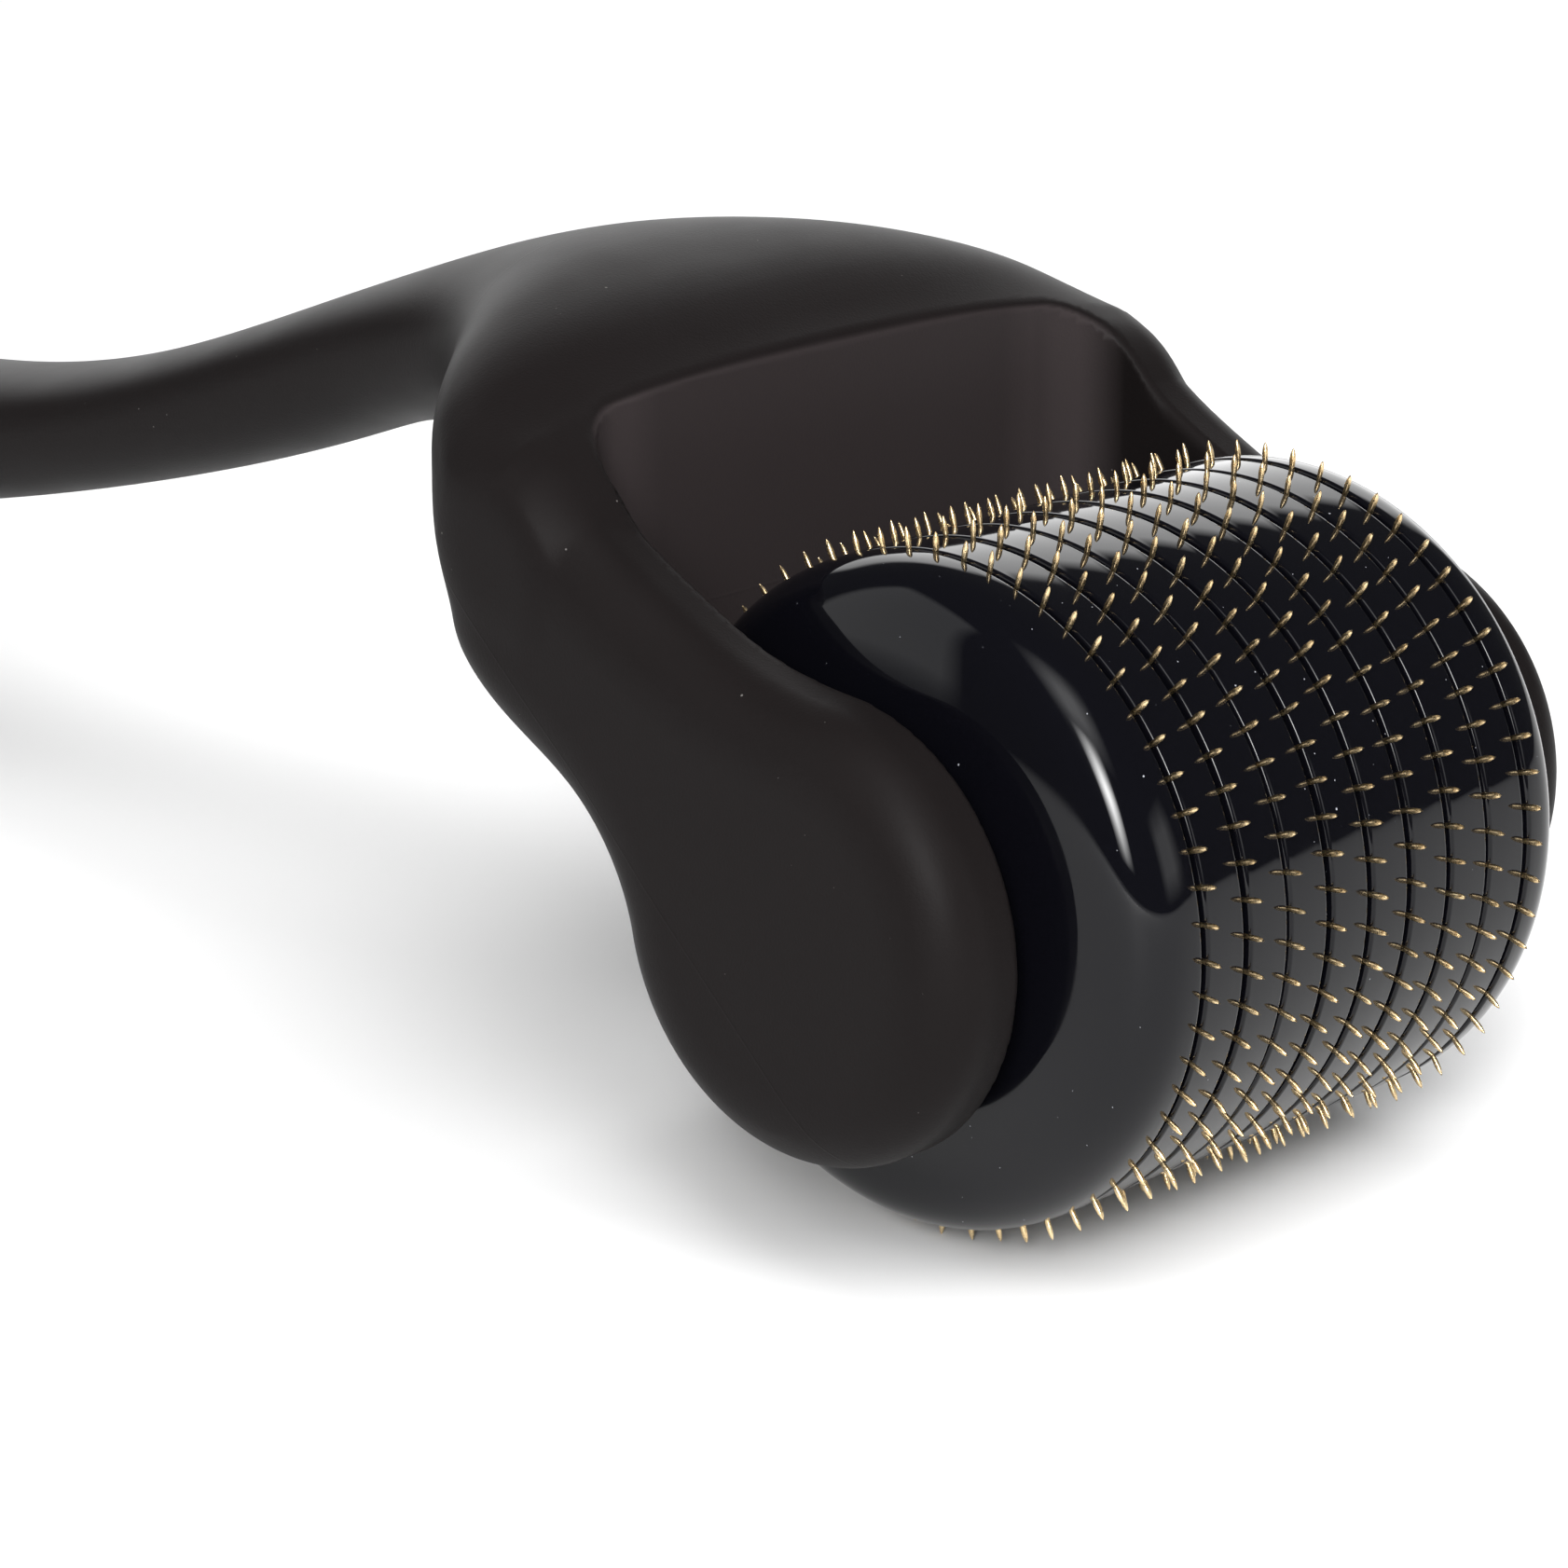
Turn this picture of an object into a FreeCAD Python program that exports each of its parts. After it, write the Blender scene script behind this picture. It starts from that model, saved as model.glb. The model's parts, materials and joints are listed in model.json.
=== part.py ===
"""Derma roller: a needle drum on a steel axle in a one-piece fork and handle.

Frame: +Z up, floor at z = 0, axle along Y, handle towards -X and drum at +X.
The origin is under the centre of the whole part. Millimetres and degrees.
Pieces are drawn with the axle on the Y axis, then moved to their place.
"""
import FreeCAD
import Part
import math
import os

V = FreeCAD.Vector

# drum
DRUM_R = 11.0           # outside of discs and end caps
RING_COUNT = 9          # needle rings along the drum
RING_PITCH = 2.0        # from one ring to the next
PIN_COUNT = 60          # needles in a ring
PIN_OUT = 0.7           # needle length outside the drum
PIN_DIA = 0.2
PIN_POINT = 0.35        # length of the ground point
PIN_ROOT_R = 7.2        # where the needles start, inside the drum
SEAM = 0.24             # gap between two discs, that the needles stand in
SEAM_EDGE = 0.07        # rounding of the disc edges beside the seam
HUB_R = 6.8             # inside this radius the discs touch each other
ADHESIVE_WIDTH = 0.8    # radial width of the bed that the needle roots are set in
CAP_RIM = 2.0           # rounding of the end cap's rim
CAP_LAND = 0.6          # straight part of the end cap outside the last ring
CAP_CROWN = 1.0         # how far the end cap's face rises towards the axle
CROWN_FULLNESS = 0.7    # share of that rise reached halfway in
COLLAR_R = 3.2          # thrust collar on the end cap

# The discs are glued with no index between them, so each ring starts elsewhere.
RING_PHASE = (1.6, 3.2, 5.3, 6.0, 2.6, 2.4, 3.5, 0.2, 1.9)

# core and axle
CORE_R = 4.0
CORE_SHORT = 0.4        # end gap of the core inside each end cap
BOND_GAP = 0.02         # glue line round the core
AXLE_R = 1.5
AXLE_CHAMFER = 0.3
RUN_CLEARANCE = 0.05    # radial, axle in the fork's sockets
CAP_WEB = 1.2           # end cap wall outside the core's pocket

# fork
ARM_GAP = 0.8           # from the crown of an end cap to the arm
COLLAR_GAP = 0.15       # from the thrust collar to the arm
ARM_T = 3.4             # arm thickness
BOSS_R = 7.55           # round lower end of an arm
BOSS_FROM = 192         # the boss is round from here, anticlockwise
BOSS_TO = 86            # to here, in degrees from the drum's front
SOCKET_DEPTH = 1.9
END_PLAY = 0.15         # axial, at each end of the axle
ARM_EDGE_OUT = 2.1      # rounding of the arm's outer edge
BRIDGE_LOW = 5.7        # bridge underside above the axle, at its inner wall
BRIDGE_HIGH = 14.5      # bridge top above the axle, at its inner wall
BRIDGE_CLEAR = 1.9      # needle tips to the lower edge of the bridge
CORNER_R = 2.2          # inside corners between bridge and arms

# neck and handle
NECK_HALF = 4.25        # half width of the neck
GRIP_HALF = 6.2         # half width of the grip at its widest
GRIP_T = 9.2            # thickness of the grip at its widest
HANDLE_LENGTH = 121.0   # from the bridge's inner wall to the end of the grip
CREST = 17.1            # highest point of the handle above the axle

TIP_R = DRUM_R + PIN_OUT
LAST_RING = RING_PITCH * (RING_COUNT - 1) / 2
CAP_RIM_Y = LAST_RING + CAP_LAND
CAP_FACE_Y = CAP_RIM_Y + CAP_RIM
CROWN_Y = CAP_FACE_Y + CAP_CROWN
ARM_IN = CROWN_Y + ARM_GAP
ARM_OUT = ARM_IN + ARM_T
COLLAR_Y = ARM_IN - COLLAR_GAP
POCKET_Y = COLLAR_Y - CAP_WEB
CORE_HALF = POCKET_Y - CORE_SHORT
AXLE_HALF = ARM_IN + SOCKET_DEPTH - END_PLAY
WALL = math.sqrt((TIP_R + BRIDGE_CLEAR) ** 2 - BRIDGE_LOW ** 2)
HANDLE_END = WALL + HANDLE_LENGTH

AXLE_X = (HANDLE_END - TIP_R) / 2
AXLE_Z = TIP_R
PLACE = V(AXLE_X, 0, AXLE_Z)


def turned(points):
    """Solid of revolution about the axle from (radius, y) corners and arcs.

    A corner is (r, y). An arc is ((r, y) halfway, (r, y) end).
    """
    edges = []
    first = V(points[0][0], points[0][1], 0)
    here = first
    for point in points[1:] + [points[0]]:
        if isinstance(point[0], tuple):
            through = V(point[0][0], point[0][1], 0)
            end = V(point[1][0], point[1][1], 0)
            edges.append(Part.Arc(here, through, end).toShape())
        else:
            end = V(point[0], point[1], 0)
            edges.append(Part.LineSegment(here, end).toShape())
        here = end
    face = Part.Face(Part.Wire(edges))
    return face.revolve(V(0, 0, 0), V(0, 1, 0), 360)


def quarter(r, y, radius, toward_r, toward_y):
    """Middle point of a quarter arc round the centre (r, y)."""
    reach = radius * math.sqrt(0.5)
    return (r + toward_r * reach, y + toward_y * reach)


def smooth(points, start, end):
    """Smooth curve through (x, z) points, with a direction at each end."""
    curve = Part.BSplineCurve()
    spots = [V(x, 0, z) for x, z in points]
    curve.interpolate(Points=spots, InitialTangent=start, FinalTangent=end)
    return curve.toShape()


def spacer_disc(index):
    """Disc between needle rings index and index + 1, counted from the -Y end."""
    low = (index - (RING_COUNT - 1) / 2) * RING_PITCH
    high = low + RING_PITCH
    low_face = low + SEAM / 2
    high_face = high - SEAM / 2
    inner_r = CORE_R + BOND_GAP
    edge_r = DRUM_R - SEAM_EDGE
    low_arc = quarter(edge_r, low_face + SEAM_EDGE, SEAM_EDGE, 1, -1)
    high_arc = quarter(edge_r, high_face - SEAM_EDGE, SEAM_EDGE, 1, 1)
    return turned([
        (inner_r, low),
        (HUB_R, low),
        (HUB_R, low_face),
        (edge_r, low_face),
        (low_arc, (DRUM_R, low_face + SEAM_EDGE)),
        (DRUM_R, high_face - SEAM_EDGE),
        (high_arc, (edge_r, high_face)),
        (HUB_R, high_face),
        (HUB_R, high),
        (inner_r, high),
    ])


def end_cap(side):
    """Drum end with a rounded rim, a crowned face and a thrust collar."""
    seam_y = side * (LAST_RING + SEAM / 2)
    edge_r = DRUM_R - SEAM_EDGE
    rim_r = DRUM_R - CAP_RIM
    seam_arc = quarter(edge_r, seam_y + side * SEAM_EDGE, SEAM_EDGE, 1, -side)
    rim_arc = quarter(rim_r, side * CAP_RIM_Y, CAP_RIM, 1, side)
    face_mid_r = (rim_r + COLLAR_R) / 2
    face_mid_y = side * (CAP_FACE_Y + CROWN_FULLNESS * CAP_CROWN)
    return turned([
        (CORE_R + BOND_GAP, side * LAST_RING),
        (HUB_R, side * LAST_RING),
        (HUB_R, seam_y),
        (edge_r, seam_y),
        (seam_arc, (DRUM_R, seam_y + side * SEAM_EDGE)),
        (DRUM_R, side * CAP_RIM_Y),
        (rim_arc, (rim_r, side * CAP_FACE_Y)),
        ((face_mid_r, face_mid_y), (COLLAR_R, side * CROWN_Y)),
        (COLLAR_R, side * COLLAR_Y),
        (AXLE_R + BOND_GAP, side * COLLAR_Y),
        (AXLE_R + BOND_GAP, side * POCKET_Y),
        (CORE_R + BOND_GAP, side * POCKET_Y),
    ])


def needle():
    """One pointed needle along +X, from its root to its tip."""
    radius = PIN_DIA / 2
    shoulder = TIP_R - PIN_POINT
    shaft = Part.makeCylinder(radius, shoulder - PIN_ROOT_R, V(PIN_ROOT_R, 0, 0), V(1, 0, 0))
    point = Part.makeCone(radius, 0, PIN_POINT, V(shoulder, 0, 0), V(1, 0, 0))
    return shaft.fuse(point).removeSplitter()


def needle_ring(index):
    """Needles set side by side in an adhesive bed that fills the seam's foot."""
    bed = turned([
        (HUB_R + BOND_GAP, -SEAM / 2),
        (HUB_R + ADHESIVE_WIDTH, -SEAM / 2),
        (HUB_R + ADHESIVE_WIDTH, SEAM / 2),
        (HUB_R + BOND_GAP, SEAM / 2),
    ])
    step = 360.0 / PIN_COUNT
    pins = []
    for number in range(PIN_COUNT):
        pin = needle()
        pin.rotate(V(0, 0, 0), V(0, -1, 0), RING_PHASE[index % len(RING_PHASE)] + number * step)
        pins.append(pin)
    ring = bed.multiFuse(pins)
    ring.translate(V(0, (index - (RING_COUNT - 1) / 2) * RING_PITCH, 0))
    return ring


def drum_core():
    """Sleeve that the discs and caps are stacked on, pressed on the axle."""
    return turned([
        (AXLE_R, -CORE_HALF),
        (CORE_R, -CORE_HALF),
        (CORE_R, CORE_HALF),
        (AXLE_R, CORE_HALF),
    ])


def axle_pin():
    """Plain steel pin with chamfered ends."""
    flat = AXLE_R - AXLE_CHAMFER
    straight = AXLE_HALF - AXLE_CHAMFER
    return turned([
        (0, -AXLE_HALF),
        (flat, -AXLE_HALF),
        (AXLE_R, -straight),
        (AXLE_R, straight),
        (flat, AXLE_HALF),
        (0, AXLE_HALF),
    ])


def on_boss(degrees):
    """Point on the boss circle, and the anticlockwise direction there."""
    angle = math.radians(degrees)
    point = V(BOSS_R * math.cos(angle), 0, BOSS_R * math.sin(angle))
    return point, V(-math.sin(angle), 0, math.cos(angle))


def arm_plate():
    """Both arms as one block: round boss at the axle, rising back to the bridge."""
    low, low_way = on_boss(BOSS_FROM)
    front, _ = on_boss((BOSS_FROM + BOSS_TO) / 2 + 180)
    top, top_way = on_boss(BOSS_TO)
    boss = Part.Arc(low, front, top).toShape()
    root = (-WALL - 2.25, BRIDGE_LOW + 0.9)
    shoulder = (-WALL, BRIDGE_HIGH - 1.45)
    above = smooth([
        (top.x, top.z),
        (-0.27 * WALL, BOSS_R + 0.7),
        (-0.5 * WALL, BOSS_R + 1.95),
        (-0.74 * WALL, BRIDGE_HIGH - 3.35),
        shoulder,
    ], top_way, V(-1, 0, 0.3))
    behind = smooth([
        shoulder,
        (-WALL - 2.9, (BRIDGE_HIGH + BRIDGE_LOW) / 2 + 0.4),
        root,
    ], V(-1, 0, -0.3), V(0.7, 0, -0.7))
    below = smooth([
        root,
        (-0.98 * WALL, BRIDGE_LOW - 1.35),
        (-0.785 * WALL, BRIDGE_LOW - 3.4),
        (low.x, low.z),
    ], V(0.7, 0, -0.7), low_way)
    face = Part.Face(Part.Wire([boss, above, behind, below]))
    face.translate(V(0, -ARM_OUT, 0))
    block = face.extrude(V(0, 2 * ARM_OUT, 0))
    rims = [e for e in block.Edges if abs(abs(e.CenterOfMass.y) - ARM_OUT) < 1e-4]
    return block.makeFillet(ARM_EDGE_OUT, rims)


def section(x, half_width, low, high, power):
    """Closed rounded outline across the handle at a distance x behind the axle."""
    centre = (low + high) / 2
    half_height = (high - low) / 2
    steps = 28
    spots = []
    for number in range(steps):
        angle = 2 * math.pi * (number + 0.5) / steps
        c = math.cos(angle)
        s = math.sin(angle)
        y = half_width * math.copysign(abs(c) ** (2 / power), c)
        z = centre + half_height * math.copysign(abs(s) ** (2 / power), s)
        spots.append(V(-x, y, z))
    curve = Part.BSplineCurve()
    curve.interpolate(Points=spots, PeriodicFlag=True)
    return Part.Wire(curve.toShape())


def handle_body():
    """Bridge, neck and grip as one smooth loft from the fork to the grip's end."""
    head = ARM_OUT - NECK_HALF
    grip = GRIP_HALF - NECK_HALF
    floor = -TIP_R
    back = HANDLE_END
    stations = [
        # x, half width, low, high, squareness
        (WALL - 3.0, ARM_OUT - 0.3, BRIDGE_LOW - 0.6, BRIDGE_HIGH - 2.4, 3.4),
        (WALL, ARM_OUT, BRIDGE_LOW, BRIDGE_HIGH, 3.0),
        (WALL + 2.7, ARM_OUT - 0.5, BRIDGE_LOW + 0.5, CREST - 1.0, 2.7),
        (WALL + 5.2, NECK_HALF + 0.82 * head, BRIDGE_LOW + 1.4, CREST - 0.3, 2.6),
        (WALL + 7.7, NECK_HALF + 0.57 * head, BRIDGE_LOW + 2.3, CREST, 2.6),
        (WALL + 10.6, NECK_HALF + 0.32 * head, BRIDGE_LOW + 3.0, CREST - 0.3, 2.4),
        (WALL + 14.0, NECK_HALF + 0.14 * head, BRIDGE_LOW + 3.3, CREST - 1.1, 2.3),
        (WALL + 18.7, NECK_HALF + 0.04 * head, BRIDGE_LOW + 3.0, CREST - 2.6, 2.2),
        (WALL + 24.7, NECK_HALF, BRIDGE_LOW + 1.1, CREST - 4.8, 2.2),
        (WALL + 34.7, NECK_HALF, BRIDGE_LOW - 2.1, CREST - 8.4, 2.2),
        (WALL + 46.7, NECK_HALF + 0.1 * grip, BRIDGE_LOW - 5.1, CREST - 11.1, 2.3),
        (WALL + 0.53 * HANDLE_LENGTH, NECK_HALF + 0.4 * grip, floor + 8.9, floor + 16.3, 2.4),
        (WALL + 0.7 * HANDLE_LENGTH, NECK_HALF + 0.8 * grip, floor + 4.8, floor + 13.4, 2.5),
        (WALL + 0.86 * HANDLE_LENGTH, GRIP_HALF, floor + 1.4, floor + 1.4 + GRIP_T, 2.5),
        (back - 6.0, GRIP_HALF - 0.3, floor + 0.2, floor + 8.3, 2.5),
        (back - 2.0, GRIP_HALF - 1.7, floor + 0.6, floor + 6.9, 2.4),
        (back - 0.5, GRIP_HALF - 3.4, floor + 1.7, floor + 5.7, 2.2),
        (back, GRIP_HALF - 5.0, floor + 2.9, floor + 4.5, 2.0),
    ]
    return Part.makeLoft([section(*station) for station in stations], True, False)


def drum_room():
    """Space between the arms: flat walls with rounded inside corners."""
    reach = WALL + DRUM_R
    tall = 3 * DRUM_R
    room = Part.makeBox(reach, 2 * ARM_IN, tall, V(-WALL, -ARM_IN, -1.5 * DRUM_R))
    corners = []
    for edge in room.Edges:
        middle = edge.CenterOfMass
        upright = abs(middle.z) < 1e-6
        if upright and middle.x < 0:
            corners.append(edge)
    return room.makeFillet(CORNER_R, corners)


def fork_handle():
    """One moulding: arms, bridge, neck and grip, with two blind axle sockets."""
    body = handle_body().fuse(arm_plate())
    body = body.cut(drum_room())
    radius = AXLE_R + RUN_CLEARANCE
    bottom = ARM_IN + SOCKET_DEPTH
    sockets = Part.makeCylinder(radius, 2 * bottom, V(0, -bottom, 0), V(0, 1, 0))
    return body.cut(sockets)


def save(name, shape):
    """Put a piece in its place and write it."""
    placed = shape.copy()
    placed.translate(PLACE)
    placed.exportStep("parts/" + name + ".step")
    print(name, "solids", len(placed.Solids), "volume", round(placed.Volume, 3), placed.isValid())


os.makedirs("parts", exist_ok=True)
save("fork_handle", fork_handle())
save("axle_pin", axle_pin())
save("drum_core", drum_core())
save("end_cap_left", end_cap(-1))
save("end_cap_right", end_cap(1))
for disc in range(RING_COUNT - 1):
    save("spacer_disc_" + str(disc + 1), spacer_disc(disc))
for ring in range(RING_COUNT):
    save("needle_ring_" + str(ring + 1), needle_ring(ring))
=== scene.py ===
"""Looks of the derma roller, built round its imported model.

Blender works in metres. Shapes here are worked out in axle millimetres: the
origin is the middle of the axle, x points to the front of the drum, y along
the axle and z up. `to_row` puts them in the model's own frame.
"""
import json
import math
import bpy
import numpy as np
import openvdb
from mathutils import Matrix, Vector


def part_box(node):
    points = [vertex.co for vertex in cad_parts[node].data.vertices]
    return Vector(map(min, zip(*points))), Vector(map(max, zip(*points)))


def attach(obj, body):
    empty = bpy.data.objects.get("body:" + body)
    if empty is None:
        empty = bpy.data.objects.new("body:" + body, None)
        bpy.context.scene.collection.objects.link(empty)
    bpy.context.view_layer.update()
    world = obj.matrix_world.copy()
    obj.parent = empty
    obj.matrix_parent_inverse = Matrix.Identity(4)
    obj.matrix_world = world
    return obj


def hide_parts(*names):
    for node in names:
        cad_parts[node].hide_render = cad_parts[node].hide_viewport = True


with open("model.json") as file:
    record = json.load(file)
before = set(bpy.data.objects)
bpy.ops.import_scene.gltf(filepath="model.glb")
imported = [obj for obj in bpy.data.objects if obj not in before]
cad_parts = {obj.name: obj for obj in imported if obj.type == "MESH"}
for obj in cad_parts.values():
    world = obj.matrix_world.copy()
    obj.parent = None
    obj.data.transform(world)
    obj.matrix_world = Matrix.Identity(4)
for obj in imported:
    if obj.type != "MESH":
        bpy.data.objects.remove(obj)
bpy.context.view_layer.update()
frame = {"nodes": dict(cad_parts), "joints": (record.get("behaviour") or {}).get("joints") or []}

MM = 0.001
AXLE = np.array(frame["joints"][0]["pos_m"])
RING_COUNT = 9
DISC_COUNT = RING_COUNT - 1
PINS_PER_RING = 60


# ---------------------------------------------------------------- sizes read from the model

def to_row(points):
    """Axle millimetres to metres in the model's frame."""
    return np.asarray(points, float) * MM + AXLE


def box_mm(node):
    """Lowest and highest corner of a node, in axle millimetres."""
    low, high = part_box(node)
    return (np.array(low) - AXLE) / MM, (np.array(high) - AXLE) / MM


def vertices_mm(node):
    """All vertices of a node, in axle millimetres."""
    mesh = frame["nodes"][node].data
    flat = np.empty(len(mesh.vertices) * 3)
    mesh.vertices.foreach_get("co", flat)
    return (flat.reshape(-1, 3) - AXLE) / MM


fork = vertices_mm("fork_handle")
fork_low, fork_high = box_mm("fork_handle")
arm_part = fork[fork[:, 0] > -5.0]
wall_part = fork[(np.abs(fork[:, 1]) < 5.0) & (fork[:, 2] > 6.0)]
BOSS_R = fork_high[0]                       # round end of an arm
ARM_IN = np.abs(arm_part[:, 1]).min()       # inner face of an arm
ARM_OUT = np.abs(arm_part[:, 1]).max()      # outer face of an arm
WALL = -wall_part[:, 0].max()               # bridge wall behind the axle
HANDLE_END = -fork_low[0]
CREST = fork_high[2]
TIP_R = box_mm("needle_ring_1")[1][2]
DRUM_R = box_mm("end_cap_left")[1][0]
COLLAR_Y = -box_mm("end_cap_left")[0][1]
RING_Y = [sum(c[1] for c in box_mm(f"needle_ring_{n + 1}")) / 2 for n in range(RING_COUNT)]
CORE_R = box_mm("drum_core")[1][2]
AXLE_R = box_mm("axle_pin")[1][2]
AXLE_END = box_mm("axle_pin")[1][1]
FLOOR_Z = -TIP_R

HUB_R = 6.8                 # inside this radius the discs touch each other
BOND_GAP = 0.02             # between turned pieces that are glued together
SEAM_HALF = (0.11, 0.12, 0.055, 0.12, 0.11, 0.115, 0.10, 0.06, 0.10)    # half the gap at each ring
SEAM_EDGE = 0.14            # rounding of the edges beside a seam
SEAM_STEP = 0.02            # from that rounding to the first point of the outside
SEAM_NECK = 0.4             # flat face inside that rounding
DISC_CROWN = 0.012          # how much smaller a disc is at its edges than in its middle
CAP_LAND = 0.6              # straight part of an end cap outside the last ring
CAP_RIM = 2.0               # rounding of an end cap's rim
CAP_CROWN = 1.0             # how far an end cap's face rises towards the axle
RIM_TURN = 70               # degrees of rim before the crown takes over
COLLAR_R = 3.2              # thrust collar on an end cap
COLLAR_EDGE = 0.12
CAP_WEB = 0.8               # end cap wall outside the core's pocket
ROOT_R = 7.3                # where the needles start, inside the drum
RING_PHASE = (1.61, 3.15, 5.27, 5.96, 2.57, 2.37, 3.47, 0.16, 1.86)     # first needle, degrees

HANDLE_FRONT = -5.0         # the handle's sections end here, inside the room for the drum
ARM_PILLOW = (2.8, 2.1)     # oval rounding of an arm's outer edge: across its outline, along the axle
ARM_BLEND = 2.0             # reach of the fillet between arm and handle
FACE_EDGE = 0.35            # softening at the plane of an arm's outer face
CORNER_R = 2.2              # upright corners of the room for the drum
ROOM_EDGE = 0.38            # softened edge round that room
SOCKET_EDGE = 0.12
RUN_CLEARANCE = 0.05        # round the axle in its sockets
END_PLAY = 0.15             # at each end of the axle
SKIN_CELL = 0.272           # quad size of the moulding's skin


# ---------------------------------------------------------------- mesh making

def quads(rows, cols, wrap_rows, wrap_cols):
    """Corner indices of every quad of a grid, as an array (count, 4)."""
    row = np.arange(rows if wrap_rows else rows - 1)
    col = np.arange(cols if wrap_cols else cols - 1)
    i, j = np.meshgrid(row, col, indexing="ij")
    i2 = (i + 1) % rows
    j2 = (j + 1) % cols
    return np.stack([i * cols + j, i * cols + j2, i2 * cols + j2, i2 * cols + j], -1).reshape(-1, 4)


def signed_volume(points, faces):
    """Volume inside a closed surface, negative if its faces point inwards."""
    total = 0.0
    for k in range(1, faces.shape[1] - 1):
        a, b, c = points[faces[:, 0]], points[faces[:, k]], points[faces[:, k + 1]]
        total += np.einsum("ij,ij->i", a, np.cross(b, c)).sum() / 6
    return total


def solid_mesh(name, parts):
    """One mesh from closed parts. A part is (points in axle mm, quads, extra faces as lists)."""
    all_points = []
    all_faces = []
    start = 0
    for points, faces, extra in parts:
        closing = [tri for face in extra for tri in fan(face)]
        turn = signed_volume(points, faces)
        if closing:
            turn += signed_volume(points, np.array(closing))
        flip = turn < 0
        for face in [list(f) for f in faces] + [list(f) for f in extra]:
            face = [int(v) + start for v in face]
            all_faces.append(face[::-1] if flip else face)
        all_points.append(points)
        start += len(points)
    mesh = bpy.data.meshes.new(name)
    mesh.from_pydata(to_row(np.concatenate(all_points)), [], all_faces)
    mesh.update()
    mesh.shade_smooth()
    return mesh


def fan(face):
    """Triangles of a flat face from its first corner."""
    return [(face[0], face[k], face[k + 1]) for k in range(1, len(face) - 1)]


def show(name, mesh, *materials):
    """Puts a mesh in the scene as an object with its materials."""
    piece = bpy.data.objects.new(name, mesh)
    bpy.context.scene.collection.objects.link(piece)
    for material in materials:
        mesh.materials.append(material)
    return piece


def arc(centre, radius, start, end, steps):
    """Points of an arc in a (radius, y) profile, angles in degrees from the radius axis."""
    t = np.radians(np.linspace(start, end, steps))
    return np.stack([centre[0] + radius * np.cos(t), centre[1] + radius * np.sin(t)], 1)


def turned(profile, segments=288):
    """Closed (radius, y) profile turned about the axle: x = r cos a, z = r sin a."""
    a = np.linspace(0, 2 * math.pi, segments, endpoint=False)
    r, y = profile[:, :1], profile[:, 1:]
    grid = np.stack([r * np.cos(a), y + 0 * a, r * np.sin(a)], -1)
    return grid.reshape(-1, 3), quads(len(profile), segments, True, True), []


def clamped_spline(points, start, end, count):
    """Cubic spline through points with given end directions, as count points along it.

    Between two points at chord distance h it is the Hermite cubic; the slopes
    m at the inner points keep the second derivative continuous.
    """
    p = np.asarray(points, float)
    h = np.linalg.norm(np.diff(p, axis=0), axis=1)
    n = len(p)
    left = np.eye(n)
    right = np.zeros_like(p)
    right[0], right[-1] = start, end
    rise = np.diff(p, axis=0) / h[:, None]**2
    for i in range(1, n - 1):
        left[i, i - 1:i + 2] = 1 / h[i - 1], 2 / h[i - 1] + 2 / h[i], 1 / h[i]
        right[i] = 3 * (rise[i - 1] + rise[i])
    m = np.linalg.solve(left, right)
    knots = np.concatenate([[0], np.cumsum(h)])
    where = np.linspace(0, knots[-1], count)
    i = np.clip(np.searchsorted(knots, where, side="right") - 1, 0, n - 2)
    s = ((where - knots[i]) / h[i])[:, None]
    width = h[i][:, None]
    return (p[i] * (1 + 2 * s) * (1 - s)**2 + p[i + 1] * s * s * (3 - 2 * s)
            + width * (m[i] * s * (1 - s)**2 - m[i + 1] * s * s * (1 - s)))


# ---------------------------------------------------------------- drum pieces

def land(low, high, steps=9):
    """Outside of a disc between two y values, very slightly crowned."""
    y = np.linspace(low, high, steps)
    crown = DISC_CROWN * (2 * (y - (low + high) / 2) / (high - low))**2
    return np.stack([DRUM_R - crown, y], 1)


def disc_profile(number):
    """Section of a spacer disc: thick hub, thinner rim with rounded edges."""
    low, high = RING_Y[number], RING_Y[number + 1]
    low_face = low + SEAM_HALF[number]
    high_face = high - SEAM_HALF[number + 1]
    edge = DRUM_R - DISC_CROWN - SEAM_EDGE
    neck = edge - SEAM_NECK
    bore = CORE_R + BOND_GAP
    return np.concatenate([
        [(bore, low), (HUB_R, low), (HUB_R, low_face), (neck, low_face)],
        arc((edge, low_face + SEAM_EDGE), SEAM_EDGE, -90, 0, 6),
        land(low_face + SEAM_EDGE + SEAM_STEP, high_face - SEAM_EDGE - SEAM_STEP),
        arc((edge, high_face - SEAM_EDGE), SEAM_EDGE, 0, 90, 6),
        [(neck, high_face), (HUB_R, high_face), (HUB_R, high), (bore, high)],
    ])


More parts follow.
